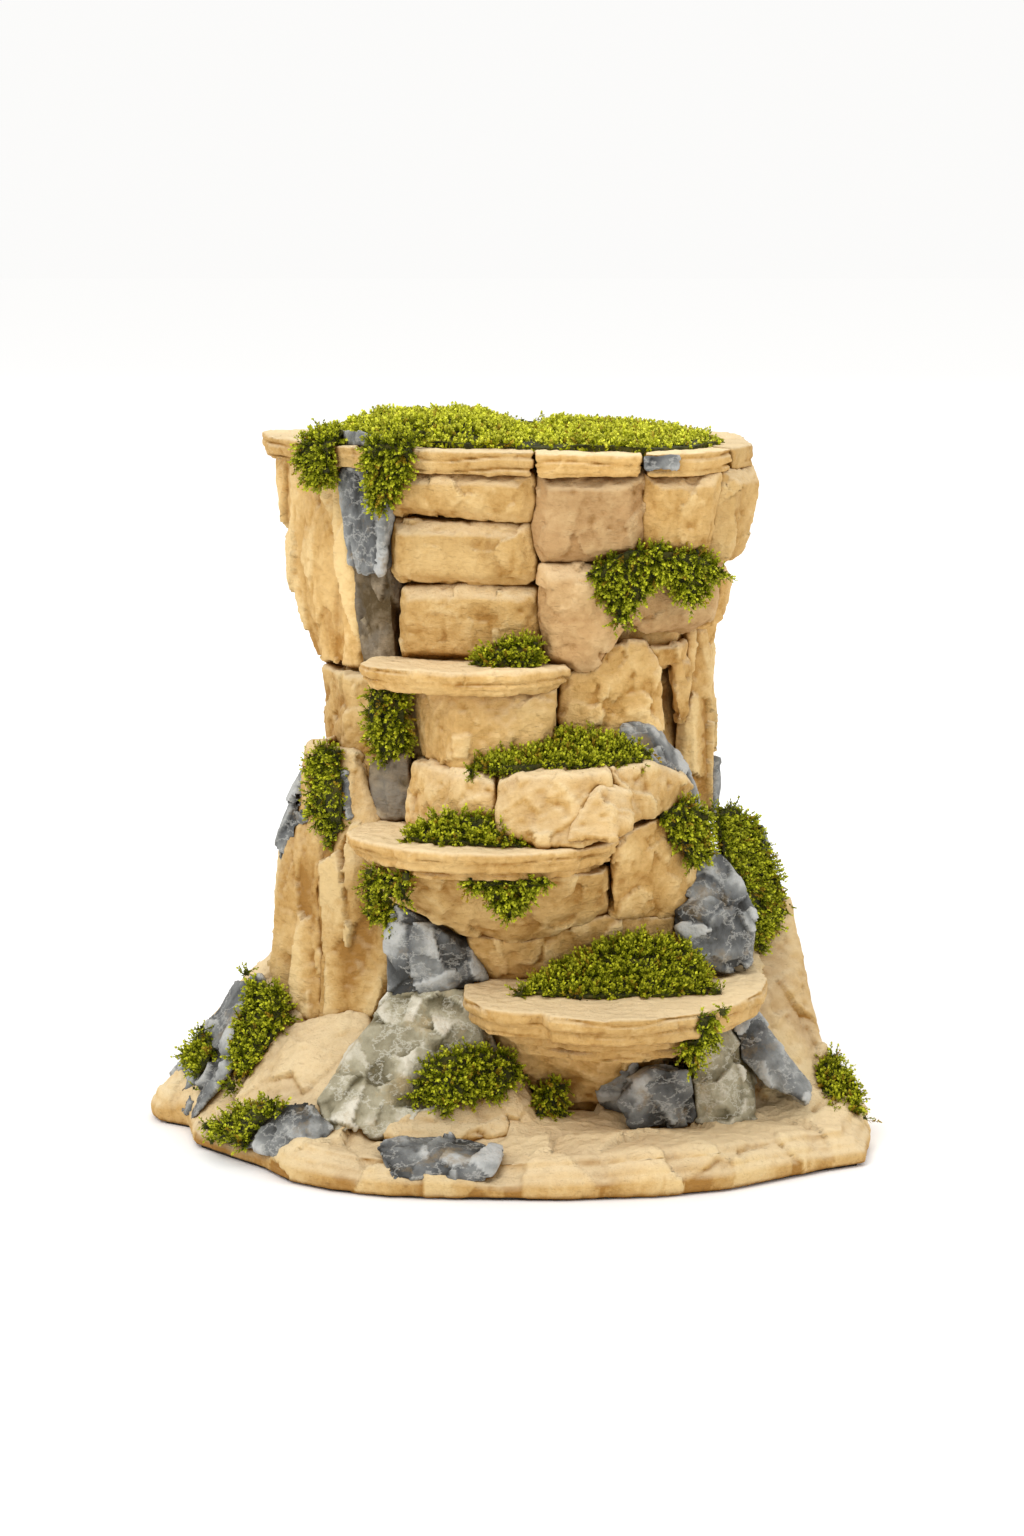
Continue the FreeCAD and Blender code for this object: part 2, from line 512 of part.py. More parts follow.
rock("tier_left_stone", [
    (-25, -19, 105.5), (-13, -36, 104), (-2.5, -43.5, 104), (-2.5, -20, 106), (-24, -8, 105.5),
    (-26, -22, 88.5), (-14, -41, 88.5), (-2.5, -46, 88.5), (0, -16, 88.5), (-24, -6, 88.5)])
rock("tier_centre_stone", [
    (-2, -45, 104), (4, -49, 106), (22, -50, 106.5), (27, -46, 107), (28, -20, 108), (0, -20, 108),
    (-1.5, -50, 92), (8, -55, 89), (20, -56, 89), (27, -50, 90), (28, -20, 89), (-2, -20, 89)])
rock("tier_wedge_stone", [
    (25, -52, 104), (33, -46, 101.5), (33, -51, 93), (29, -57, 90.5), (16, -58.5, 90.5), (18, -50, 97),
    (27, -40, 102), (31, -38, 92), (20, -44, 90)])
rock("tier_right_stone", [
    (28, -42, 107), (39, -34, 107), (49, -26, 102), (50.5, -22, 99), (45, -28, 94), (33, -45, 93),
    (28, -20, 107), (46, -8, 102), (48, -8, 94), (30, -16, 92)])

# ---------------------------------------------------------------- stones under the middle ledge

rock("ledge_support_stone", [
    (-36, -40, 80), (-30, -48, 80), (-10, -54, 80), (10, -53.5, 80), (26, -46, 80), (29, -30, 80),
    (24, -10, 80), (-30, -8, 80), (-29, -36, 69), (-17, -42.5, 68), (10, -44, 68), (27, -39, 70),
    (-9, -35, 60.5), (5, -37, 59.5), (14, -35, 61.5), (28, -30, 66), (20, -10, 60), (-14, -12, 60)])
rock("ledge_support_foot", [
    (-9.5, -33, 59.8), (4, -35.5, 58.6), (14, -34, 61), (28, -33, 65.5), (46, -26, 64),
    (-7, -27, 46.4), (10, -29, 46), (29, -29, 46.4), (48, -24, 46.4), (44, -8, 62), (-10, -14, 58),
    (-6, -14, 46.4), (46, -10, 46.4)])
rock("right_shoulder_stone", [
    (29, -42, 88), (36, -36.5, 91), (48, -28, 94), (53, -20, 90), (55, -12, 80), (29, -35, 66.5),
    (45, -27, 67), (54, -18, 58), (52, -4, 56), (30, -8, 62), (30, -8, 90), (50, 0, 92)])

# ---------------------------------------------------------------- left column

rock("column_outer_stone", [
    (-54, 1, 106), (-48.5, -5, 108.5), (-46, 14, 108), (-56, 20, 100), (-62, 1, 72), (-52, -10, 74),
    (-62, 26, 74), (-64.5, 1, 43), (-66, 26, 42), (-51, -14, 32), (-58, -9, 34), (-44, 20, 32)])
rock("column_inner_stone", [
    (-48, -4, 107.5), (-41, -10, 106), (-33, -12, 92), (-30, -2, 104), (-52, -8, 74), (-44, -17.5, 74),
    (-33, -21.5, 73), (-31.5, -22, 51), (-34, -23, 33), (-46, -19.5, 29), (-51, -14, 31), (-24, -2, 32),
    (-24, -4, 86), (-44, 12, 104)])

# ---------------------------------------------------------------- slate

rock("pale_buttress", [
    (-29, -29, 45), (-20, -32.5, 46.5), (-9.5, -36.5, 45), (-6, -42, 34), (-25, -50, 19), (-37, -56, 12),
    (-47, -57, 10), (-50, -47, 18), (-39.5, -39, 27), (-34.5, -33, 35), (-30, -14, 42), (-8, -16, 42),
    (-46, -24, 11), (-4, -26, 11), (-20, -54, 9.9), (2, -38, 20)])
rock("ledge_slate", [
    (-24.4, -30, 69), (-28.5, -29, 67), (-32.5, -27, 56), (-31, -31, 42), (-14, -35, 44.5),
    (-3.5, -31, 46.9), (-9, -28.5, 58), (-16, -35.5, 61), (-24, -36.5, 57), (-26, -10, 66),
    (-30, -8, 44), (-8, -12, 50)])
rock("leaning_slate", [
    (32, -20, 114.5), (38.2, -14.5, 117), (44.2, -14, 109), (48, -12, 103), (51, -14, 97),
    (53.5, -16, 88), (46, -26, 101), (39, -28, 105), (32.5, -26, 107), (38, -4, 113), (52, 0, 92),
    (50, -2, 88)])
rocks("shoulder_slates", [
    [(55, -17, 84.5), (61, -16, 76.8), (65, -17, 70), (68.5, -14, 63), (47, -24, 71), (55, -27, 65.5),
     (62, 2, 74), (50, -2, 72), (66, -2, 62)],
    [(45.6, -29, 66), (56, -29.5, 70), (68, -19, 64), (68.5, -18.5, 57), (67.5, -22, 49.5),
     (60, -29, 48.5), (51, -32, 53), (47, -31.5, 62), (48, -8, 64), (66, -4, 52), (50, -8, 50)]])
rocks("pedestal_slates", [
    [(25, -40, 29), (35, -41, 29), (36, -37, 9.8), (27, -35, 9.8), (26, -28, 29), (35, -22, 24)],
    [(30, -48, 18), (39, -47, 27), (49, -44, 25), (53, -40, 9.8), (45, -47, 9.8), (34, -49, 9.8),
     (36, -26, 22), (50, -24, 22)]])
rocks("slope_slates", [
    [(-95, 3, 6), (-96, 8, 8), (-85, 8, 25), (-76, 7, 38), (-68, -2, 42), (-67, -10, 34), (-74, -19, 21),
     (-84, -20, 8), (-91, -7, 5), (-86, -19, 5), (-66, 12, 30)],
    [(-76, -41, 5.4), (-71, -47, 5.2), (-60, -60, 5.2), (-50, -64, 6), (-46, -56, 13), (-56, -50, 19),
     (-66, -43, 15), (-50, -42, 16), (-64, -34, 8), (-46, -48, 6)],
    [(-34, -71, 12), (-30, -78.5, 8.5), (-14, -81, 8), (-2, -80, 9.5), (-1, -72, 12), (-10, -64, 13),
     (-27, -64, 13), (-30, -66, 6), (-4, -66, 6), (-28, -79, 4), (-6, -80.5, 4)],
    [(62, -31, 39), (67, -27, 39), (83, -33, 18), (81, -39, 15), (71, -36, 20), (64, -33, 26),
     (66, -10, 36), (82, -20, 16)]])
rock("pale_right_stone", [
    (50, -38, 33), (57, -33, 39), (66, -31, 26), (68, -38, 9.8), (61, -45, 9.8), (52, -42, 9.8),
    (54, -16, 33), (68, -18, 22)])
rocks("slate_chips", [
    [(-56, 2, 100.5), (-63.9, 4, 78), (-62.6, 3, 73), (-58.3, -1, 70.5), (-53.5, -5, 90), (-54, 16, 98),
     (-62, 18, 76), (-56, 12, 71)],
    [(-47, -9.5, 102), (-42, -12, 101), (-41.5, -15.5, 88), (-47, -14, 87), (-49.5, -9.5, 94),
     (-44, 0, 98), (-42, -4, 89)],
    [(56.5, 21, 100), (60.5, 24, 99), (61, 26, 84), (58, 18, 83), (55, 34, 98), (56, 36, 84)],
    [(36.8, -35, 189.6), (45, -33, 189.6), (45.8, -32.6, 186.2), (37, -35, 185.8), (38, -26, 189.2),
     (45, -25, 187)],
    [(66, 10, 84), (72.5, 12, 82), (74, 12, 74), (69, 5, 75), (64, 24, 78), (72, 24, 74)]])

# ---------------------------------------------------------------- foot of the tower

rock("ledge_pedestal", [
    (-6, -32, 36), (4, -46, 36), (28, -50, 36), (44, -42, 36), (48, -18, 36), (-4, -16, 36),
    (12, -29, 9.9), (28, -31, 9.9), (40, -12, 9.9), (4, -14, 9.9), (3, -40, 27), (29, -44, 27)])
rock("sand_wedge_stone", [
    (0.9, -43, 24), (-6, -45, 23), (-29, -51, 18), (-34, -54, 14), (-32, -58, 9.9), (-20, -60, 9.9),
    (-2, -57, 9.9), (8, -51, 9.9), (10, -41, 13), (4, -28, 22), (-24, -30, 12), (2, -26, 9.9)])

# ---------------------------------------------------------------- cave mouth surround

rocks("cave_mouth_stones", [
    [(-23, 56, 44), (-23, 70, 12), (-37, 57, 44), (-43, 68, 12), (-24, 82, 5), (-44, 76, 5),
     (-22.5, 44, 48), (-36, 46, 48), (-30, 50, 10)],
    [(23, 58, 40), (23, 72, 12), (36, 58, 42), (45, 66, 10), (24, 82, 5), (46, 74, 5),
     (22.5, 44, 48), (36, 44, 48), (34, 50, 10)],
    [(-36, 58, 50), (34, 57, 50), (-30, 55, 66), (26, 56, 68), (-26, 44, 70), (26, 44, 72), (0, 62, 54),
     (-34, 44, 50), (34, 44, 50)]])
# ---------------------------------------------------------------- moss

left_carpet = form("left_carpet", [
    (-52, 30, 189.9), (-49, 10, 189.9), (-31, -11, 189.9), (6, -23, 189.9), (10, 0, 189.9),
    (8, 42, 189.9), (-18, 54, 189.9), (-44, 48, 189.9), (-40, 10, 194), (-28, 2, 196.5),
    (-12, 0, 196.5), (5, 2, 194), (-8, 34, 197), (-34, 32, 197)])
right_carpet = form("right_carpet", [
    (6, -23, 189.9), (36, -27, 189.9), (54, -19, 189.9), (61, 0, 189.9), (57, 30, 189.9),
    (40, 48, 189.9), (10, 54, 189.9), (4, 20, 189.9), (10, -10, 192.4), (36, -14, 192.2),
    (51, 2, 192), (44, 28, 193), (16, 36, 194.5)])
carpet = doc.addObject("Part::MultiFuse", "carpet")
carpet.Shapes = [left_carpet, right_carpet]
bed("moss_crown_carpet", carpet)
rocks("moss_crown_drapes", [
    [(-57.5, 4, 191), (-47.5, -8.5, 191.5), (-51, 14, 193), (-42, 0, 194.5), (-58, 3.5, 185),
     (-48, -9, 183), (-53.5, -2, 178.5), (-49.5, -6, 178.5), (-47, 4, 180)],
    [(-37.5, -18.5, 191.5), (-30.5, -23.5, 192), (-23.5, -25.5, 191), (-36, -8, 194),
     (-22, -17, 194), (-37.5, -18, 183), (-24.5, -25, 186), (-36, -16.5, 174.5),
     (-32.5, -19.5, 173.5), (-31, -10, 177)],
    [(20.5, -29.5, 158), (33, -32, 166.5), (42, -30.5, 165), (44, -30, 158), (30, -31, 144),
     (33, -30, 145), (25, -27, 154), (40, -20, 160), (26, -22, 158)],
    [(41, -31, 165), (52, -27, 164), (60, -18, 157), (51, -26, 148), (48, -27, 149), (44, -26, 157),
     (54, -12, 160), (46, -18, 152)],
    [(-20, 67, 190), (14, 67, 190), (-14, 60, 191), (10, 60, 191), (-12, 67.5, 174), (-2, 67, 166),
     (8, 67.5, 178), (-4, 58, 172)]])
rocks("moss_ledges", [
    [(-10, -24, 132.4), (-8, -31, 132.4), (8, -33, 132.4), (11, -26, 132.4), (9, -27, 140),
     (2, -26.5, 140), (-6, -24, 137), (6, -18, 139), (-6, -16, 133), (8, -18, 132.4)],
    [(-10, -40, 105.9), (0, -46, 106.6), (20, -46, 107.8), (38, -36, 108), (41, -27, 109.5),
     (25, -25, 114.5), (13, -25, 114.5), (0, -30, 111), (-9, -26, 108), (30, -16, 108), (0, -16, 108)],
    [(-27, -46, 88), (-16, -53, 88), (4, -55, 88), (10, -50, 88), (-4, -47, 96), (-14, -45, 97),
     (-21, -40, 94), (-25, -34, 88), (4, -42, 88)],
    [(2, -49, 47), (20, -54, 47), (44, -52, 47), (57, -45, 47), (47, -34, 60), (36, -36, 62),
     (20, -37, 54), (8, -37, 50), (55, -28, 50), (20, -26, 50)],
    [(45, -67, 44), (50, -71, 47.5), (57, -67, 47), (57, -60, 38), (50, -63, 30), (45.5, -63, 34),
     (50, -54, 40)],
    [(-36, -46, 80), (-25, -51.5, 80), (-26, -48, 72), (-31, -44, 72), (-28, -36, 79)],
    [(-10, -57, 80), (12, -57, 80), (7, -53, 73), (1, -51, 67.5), (-4, -52.5, 73), (2, -44, 78)]])
rocks("moss_slopes", [
    [(-37.5, -14.5, 126), (-27, -18, 126), (-26, -18.5, 118), (-26, -20.5, 108), (-34, -17, 102.5),
     (-38, -14, 112), (-34, -4, 124), (-28, -6, 106)],
    [(-55, -3, 104), (-50, -8, 109), (-45, -12, 108.5), (-43.5, -15, 96), (-44, -16.5, 84),
     (-49, -14.5, 79.5), (-54.5, -8, 88), (-50, 4, 100), (-44, -4, 88)],
    [(-39, -22.5, 76), (-30, -26, 75), (-27, -32, 68), (-31, -30, 59), (-38, -25, 63), (-32, -16, 70)],
    [(39.5, -35.5, 95), (48, -30, 97), (56, -21, 92), (57, -22, 80), (51, -29, 77.5), (44, -33, 86),
     (48, -16, 93), (52, -12, 82)],
    [(57, -8, 90), (64, 4, 90.5), (71, 11, 84), (78.5, 13, 66), (79.5, 8, 56), (71, -6, 51),
     (66, -13, 55), (60, -13, 78), (60, 8, 86), (68, 18, 76), (68, 8, 60)],
    [(85, -4, 24), (93, -11, 22), (99, -21, 14), (98, -31, 9), (88, -32, 10), (84, -18, 18),
     (88, -2, 12), (84, -12, 10)],
    [(-72, -3, 43), (-62, -13, 41), (-58.5, -16, 34), (-64, -25, 22), (-75, -24, 16), (-77, -14, 26),
     (-62, -4, 32), (-66, -8, 20)],
    [(-92, 3, 18), (-85, 1, 28), (-80, -9, 23), (-86, -14, 13), (-80, 6, 18)],
    [(-81, -32, 7), (-74, -37, 14), (-62, -46, 19), (-60, -50, 17), (-70, -50, 6), (-79, -42, 5),
     (-66, -34, 10)],
    [(-28, -51, 19), (-22, -49, 29), (-10, -49, 34), (2, -45, 31), (7, -45, 24), (0, -52, 20),
     (-16, -57, 18), (-10, -36, 26)],
    [(6, -47, 10), (12, -44, 24), (17, -42, 22), (18, -43, 10), (10, -30, 14)],
    [(-52, 38, 90), (-40, 52, 88), (-20, 56, 89), (-22, 47, 96), (-42, 40, 96), (-40, 52, 78),
     (-26, 57, 76)],
    [(50, 44, 46), (64, 40, 40), (72, 48, 24), (56, 62, 22), (48, 56, 36), (54, 36, 36)],
    [(-70, 44, 28), (-58, 56, 28), (-56, 64, 16), (-74, 54, 14), (-58, 44, 26)]])

# ---------------------------------------------------------------- check and write

doc.recompute()
broken = [thing.Label for thing in doc.Objects
          if "Invalid" in thing.State or "Error" in thing.State]
if broken:
    raise RuntimeError(f"failed objects: {broken}")

os.makedirs("parts", exist_ok=True)
for label, piece in nodes.items():
    if piece.Shape.isNull() or not piece.Shape.isValid():
        raise RuntimeError(f"bad shape: {label}")
    piece.Shape.exportStep(f"parts/{label}.step")
    print(label, [round(solid.Volume) for solid in piece.Shape.Solids])
print(len(nodes), "nodes")
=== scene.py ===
import json
import math

import bpy
import numpy as np
from mathutils import Matrix, Vector
from mathutils.bvhtree import BVHTree


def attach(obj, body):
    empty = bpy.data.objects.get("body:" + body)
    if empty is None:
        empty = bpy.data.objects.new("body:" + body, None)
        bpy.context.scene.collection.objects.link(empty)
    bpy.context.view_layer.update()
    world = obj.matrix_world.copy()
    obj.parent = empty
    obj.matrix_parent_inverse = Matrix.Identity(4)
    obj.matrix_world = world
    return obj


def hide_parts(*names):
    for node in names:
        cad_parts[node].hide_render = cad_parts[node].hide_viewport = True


# Looks of the cave ornament. Every stone starts as a copy of its CAD solid: it is remeshed, worn
# round at its edges and carved by noise. Moss pads are covered with small leafy sprigs.
# Lengths are in metres, and MM makes millimetres of them.

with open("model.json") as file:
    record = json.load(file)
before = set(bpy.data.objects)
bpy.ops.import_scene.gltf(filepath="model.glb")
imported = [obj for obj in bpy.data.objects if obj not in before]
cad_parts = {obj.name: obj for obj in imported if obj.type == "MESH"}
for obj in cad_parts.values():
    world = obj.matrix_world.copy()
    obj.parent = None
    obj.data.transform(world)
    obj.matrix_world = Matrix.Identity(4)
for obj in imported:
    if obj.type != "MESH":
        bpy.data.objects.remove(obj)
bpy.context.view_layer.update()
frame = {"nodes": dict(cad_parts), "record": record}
MM = 0.001
SEED = 11                 # of the random draws
STONE_SEED = 1000         # of the first stone's noise
STONE_SEED_STEP = 7       # from one stone to the next
MOSS_SEED = 300           # of the first moss bed's lumps
scene = bpy.context.scene

# ---------------------------------------------------------------- camera, floor and light

SENSOR_WIDTH = 36.0       # in millimetres, like the lens
LENS = 88.8
CAMERA_PLACE = (0.002, -1.0325, 0.275)
CAMERA_DROP = 9.6         # degrees that the camera looks down

camera_data = bpy.data.cameras.new("camera")
camera_data.sensor_width = SENSOR_WIDTH
camera_data.lens = LENS
camera = bpy.data.objects.new("camera", camera_data)
camera.location = CAMERA_PLACE
camera.rotation_euler = (math.radians(90 - CAMERA_DROP), 0, 0)
scene.collection.objects.link(camera)
scene.camera = camera
scene.view_settings.view_transform = "Standard"


LIGHT_AIM = Vector((0, 0, 0.1))


def area_light(name, place, size, watts):
    """A round studio light that points at the middle of the ornament."""
    data = bpy.data.lights.new(name, "AREA")
    data.shape = "DISK"
    data.size = size
    data.energy = watts
    light = bpy.data.objects.new(name, data)
    light.location = place
    light.rotation_euler = (LIGHT_AIM - Vector(place)).to_track_quat("-Z", "Y").to_euler()
    scene.collection.objects.link(light)


area_light("key_light", (-1.1, -1.5, 2.1), 1.3, 24)
area_light("fill_light", (1.6, -1.4, 1.0), 1.6, 5)
area_light("back_light", (0.2, 1.8, 1.7), 1.6, 12)

world = bpy.data.worlds.new("studio")
world.use_nodes = True
world.node_tree.nodes["Background"].inputs["Color"].default_value = (1.0, 0.995, 0.985, 1)
world.node_tree.nodes["Background"].inputs["Strength"].default_value = 0.97
scene.world = world


def new_material(name, roughness, specular=0.5):
    """A material, its node tree and its shader."""
    material = bpy.data.materials.new(name)
    material.use_nodes = True
    shader = material.node_tree.nodes["Principled BSDF"]
    shader.inputs["Roughness"].default_value = roughness
    shader.inputs["Specular IOR Level"].default_value = specular
    return material, material.node_tree, shader


HALF_FLOOR = 6.0
floor_mesh = bpy.data.meshes.new("floor")
floor_mesh.from_pydata([(x, y, 0) for x, y in ((-1, -1), (1, -1), (1, 1), (-1, 1))], [], [(0, 1, 2, 3)])
floor_mesh.transform(Matrix.Scale(HALF_FLOOR, 4))
floor = bpy.data.objects.new("floor", floor_mesh)
scene.collection.objects.link(floor)
floor_material, _, floor_shader = new_material("floor", 0.9, 0.0)
floor_shader.inputs["Base Color"].default_value = (1.0, 1.0, 0.998, 1)
floor_mesh.materials.append(floor_material)

# ---------------------------------------------------------------- noise on arrays of points


def whole_hash(cells, seed):
    """A repeatable number from 0 to 1 for each row of whole numbers."""
    n = (cells[:, 0] * 73856093) ^ (cells[:, 1] * 19349663) ^ (cells[:, 2] * 83492791)
    n = (n ^ (seed * 668265263)) & 0x7FFFFFFF
    n = ((n ^ (n >> 15)) * 2246822519) & 0x7FFFFFFF
    n = ((n ^ (n >> 13)) * 3266489917) & 0x7FFFFFFF
    return (n ^ (n >> 16)) / 0x7FFFFFFF


def value_noise(points, wavelength, seed):
    """Smooth noise from -1 to 1 with the given wavelength."""
    scaled = points / wavelength + 1000.0
    base = np.floor(scaled).astype(np.int64)
    f = scaled - base
    f = f * f * (3 - 2 * f)
    total = np.zeros(len(points))
    for dx in (0, 1):
        for dy in (0, 1):
            for dz in (0, 1):
                weight = (np.where(dx, f[:, 0], 1 - f[:, 0]) * np.where(dy, f[:, 1], 1 - f[:, 1])
                          * np.where(dz, f[:, 2], 1 - f[:, 2]))
                total += weight * whole_hash(base + (dx, dy, dz), seed)
    return total * 2 - 1


def fractal_noise(points, wavelength, octaves, seed):
    """Value noise in several octaves, each half the size and half the height of the last."""
    total = np.zeros(len(points))
    height = 1.0
    for i in range(octaves):
        total += height * value_noise(points, wavelength / 2 ** i, seed + i * 17)
        height *= 0.5
    return total


def chips(points, size, seed):
    """Chiselled faces: every cell of a scattered pattern gets a flat tilt of its own, from -1
    to 1 across the cell."""
    scaled = points / size + 1000.0
    base = np.floor(scaled).astype(np.int64)
    nearest = np.full(len(points), 9.0)
    tilt = np.zeros(len(points))
    for dx in (-1, 0, 1):
        for dy in (-1, 0, 1):
            for dz in (-1, 0, 1):
                cell = base + (dx, dy, dz)
                spot = cell + np.stack([whole_hash(cell, seed + k) for k in range(3)], axis=1)
                away = scaled - spot
                distance = (away ** 2).sum(axis=1)
                closer = distance < nearest
                slope = np.stack([whole_hash(cell, seed + 5 + k) - 0.5 for k in range(3)], axis=1)
                tilt = np.where(closer, (away * slope).sum(axis=1) * 2, tilt)
                nearest = np.where(closer, distance, nearest)
    return tilt


# ---------------------------------------------------------------- stone materials


def linear(red, green, blue):
    """A shader colour from a display colour of 0 to 255."""
    return tuple(((c / 255 + 0.055) / 1.055) ** 2.4 for c in (red, green, blue)) + (1.0,)


def noise_node(tree, wavelength_mm, detail=3.0, roughness=0.55, stretch=(1, 1, 1)):
    """Noise over the object's own coordinates, in metres."""
    place = tree.nodes.new("ShaderNodeTexCoord")
    mapping = tree.nodes.new("ShaderNodeMapping")
    mapping.inputs["Scale"].default_value = stretch
    noise = tree.nodes.new("ShaderNodeTexNoise")
    noise.inputs["Scale"].default_value = 1 / (wavelength_mm * MM)
    noise.inputs["Detail"].default_value = detail
    noise.inputs["Roughness"].default_value = roughness
    tree.links.new(place.outputs["Object"], mapping.inputs["Vector"])
    tree.links.new(mapping.outputs["Vector"], noise.inputs["Vector"])
    return noise.outputs["Fac"]


def facet_node(tree, size_mm):
    """Small flat chisel marks of about the given size."""
    place = tree.nodes.new("ShaderNodeTexCoord")
    cells = tree.nodes.new("ShaderNodeTexVoronoi")
    cells.inputs["Scale"].default_value = 1 / (size_mm * MM)
    cells.inputs["Randomness"].default_value = 1.0
    tree.links.new(place.outputs["Object"], cells.inputs["Vector"])
    return cells.outputs["Distance"]


def ramp(tree, value, stops):
    """A colour ramp: a list of places and colours."""
    made = tree.nodes.new("ShaderNodeValToRGB")
    elements = made.color_ramp.elements
    while len(elements) < len(stops):
        elements.new(0.5)
    for element, (place, colour) in zip(elements, stops):
        element.position = place
        element.color = colour
    tree.links.new(value, made.inputs["Fac"])
    return made.outputs["Color"]


def grey(value):
    return (value, value, value, 1.0)


def mix(tree, amount, first, second, blend="MIX"):
    """Two colours mixed. Each argument is a socket, a number or a colour."""
    made = tree.nodes.new("ShaderNodeMix")
    made.data_type = "RGBA"
    made.blend_type = blend
    for socket, value in ((made.inputs[0], amount), (made.inputs[6], first), (made.inputs[7], second)):
        if hasattr(value, "node"):
            tree.links.new(value, socket)
        else:
            socket.default_value = value
    return made.outputs[2]


def attribute(tree, name):
    made = tree.nodes.new("ShaderNodeAttribute")
    made.attribute_name = name
    return made.outputs["Fac"]


def bump(tree, height, distance_mm, strength, after=None):
    made = tree.nodes.new("ShaderNodeBump")
    made.inputs["Distance"].default_value = distance_mm * MM
    made.inputs["Strength"].default_value = strength
    tree.links.new(height, made.inputs["Height"])
    if after:
        tree.links.new(after, made.inputs["Normal"])
    return made.outputs["Normal"]


def painted_shade_mask(tree, reach_mm):
    """Ambient occlusion, used as a mask for painted shade: 1 in the open and 0 deep between pieces."""
    made = tree.nodes.new("ShaderNodeAmbientOcclusion")
    made.samples = 8
    made.inputs["Distance"].default_value = reach_mm * MM
    return made.outputs["AO"]


def upward(tree):
    """1 where the surface faces up, 0.5 where it is upright and 0 where it faces down."""
    facing = tree.nodes.new("ShaderNodeNewGeometry")
    split = tree.nodes.new("ShaderNodeSeparateXYZ")
    half = tree.nodes.new("ShaderNodeMath")
    half.operation = "MULTIPLY_ADD"
    half.inputs[1].default_value = 0.5
    half.inputs[2].default_value = 0.5
    tree.links.new(facing.outputs["Normal"], split.inputs["Vector"])
    tree.links.new(split.outputs["Z"], half.inputs[0])
    return half.outputs["Value"]


def stone_material(name, colours, crevice_shade_colour, patches, patch_amount, top_highlight, roughness, grain):
    """Painted cast stone. The colours run from painted shade in the carved hollows to the lighter raised
    points; the patches are a second colour in broad stains; the crevice shade colour is painted shade in
    the joints and between pieces; a pale painted highlight lies on the tops."""
    material, tree, shader = new_material(name, roughness, 0.22)
    height = attribute(tree, "height")
    speckle = noise_node(tree, 1.6, detail=4, roughness=0.7)
    # Painted shade: the carved height darkens the hollows and lightens the raised points, mixed with a
    # speckled grain.
    paint = mix(tree, 0.42, height, speckle)
    places = (0.26, 0.42, 0.56, 0.76)
    colour = ramp(tree, paint, [(place, linear(*rgb)) for place, rgb in zip(places, colours)])
    stain = ramp(tree, noise_node(tree, 17, detail=4), [(0.5, grey(0)), (0.66, grey(patch_amount))])
    colour = mix(tree, stain, colour, linear(*patches))
    # Painted highlight: faces that look up are mixed toward the pale top highlight colour.
    lit = upward(tree)
    colour = mix(tree, ramp(tree, lit, [(0.55, grey(0)), (0.92, grey(0.8))]), colour, linear(*top_highlight))
    shade = ramp(tree, noise_node(tree, 34, detail=2), [(0.3, grey(0.9)), (0.7, grey(1.05))])
    colour = mix(tree, 1.0, colour, shade, "MULTIPLY")
    tone = ramp(tree, attribute(tree, "tone"), [(0.0, grey(0.86)), (1.0, grey(1.1))])
    colour = mix(tree, 1.0, colour, tone, "MULTIPLY")
    # Painted shade: ambient occlusion darkens the joints and the crevices between pieces toward the crevice
    # shade colour.
    unshaded = ramp(tree, painted_shade_mask(tree, 3.5), [(0.2, grey(0)), (0.7, grey(1))])
    colour = mix(tree, unshaded, linear(*crevice_shade_colour), colour)
    tree.links.new(colour, shader.inputs["Base Color"])
    facets = bump(tree, facet_node(tree, 3.4), 1.0, 0.75 * grain)
    strokes = bump(tree, noise_node(tree, 2.2, detail=5, roughness=0.62, stretch=(0.8, 1, 1.5)), 1.0,
                   grain, facets)
    fine = bump(tree, noise_node(tree, 0.8, detail=3, roughness=0.7), 0.4, 0.7 * grain, strokes)
    tree.links.new(fine, shader.inputs["Normal"])
    return material


def slate_material(name, colours, crevice_shade_colour, stain_colour, vein_colour):
    """Slate: blue-grey with pale veins and ochre stains, painted shade in the carved hollows and between
    pieces, and lighter raised points.
    """
    material, tree, shader = new_material(name, 0.62, 0.35)
    height = attribute(tree, "height")
    cloud = noise_node(tree, 7, detail=5, roughness=0.6)
    # Painted shade: the carved height darkens the hollows and lightens the raised points, mixed with a cloudy
    # grain.
    paint = mix(tree, 0.5, height, cloud)
    places = (0.28, 0.44, 0.57, 0.72)
    colour = ramp(tree, paint, [(place, linear(*rgb)) for place, rgb in zip(places, colours)])
    vein = ramp(tree, noise_node(tree, 11, detail=6, roughness=0.65, stretch=(1, 1, 1.7)),
                [(0.475, grey(0)), (0.5, grey(0.5)), (0.525, grey(0))])
    colour = mix(tree, vein, colour, linear(*vein_colour))
    stain = ramp(tree, noise_node(tree, 9, detail=5, roughness=0.7), [(0.56, grey(0)), (0.7, grey(0.6))])
    colour = mix(tree, stain, colour, linear(*stain_colour))
    # Painted shade: ambient occlusion darkens the joints and the crevices between pieces toward the crevice
    # shade colour.
    unshaded = ramp(tree, painted_shade_mask(tree, 4.0), [(0.2, grey(0)), (0.7, grey(1))])
    colour = mix(tree, unshaded, linear(*crevice_shade_colour), colour)
    tree.links.new(colour, shader.inputs["Base Color"])
    flakes = bump(tree, facet_node(tree, 4.5), 1.2, 0.8)
    coarse = bump(tree, noise_node(tree, 3.2, detail=6, roughness=0.6), 1.0, 0.8, flakes)
    tree.links.new(bump(tree, noise_node(tree, 0.8, detail=2), 0.3, 0.5, coarse), shader.inputs["Normal"])
    return material


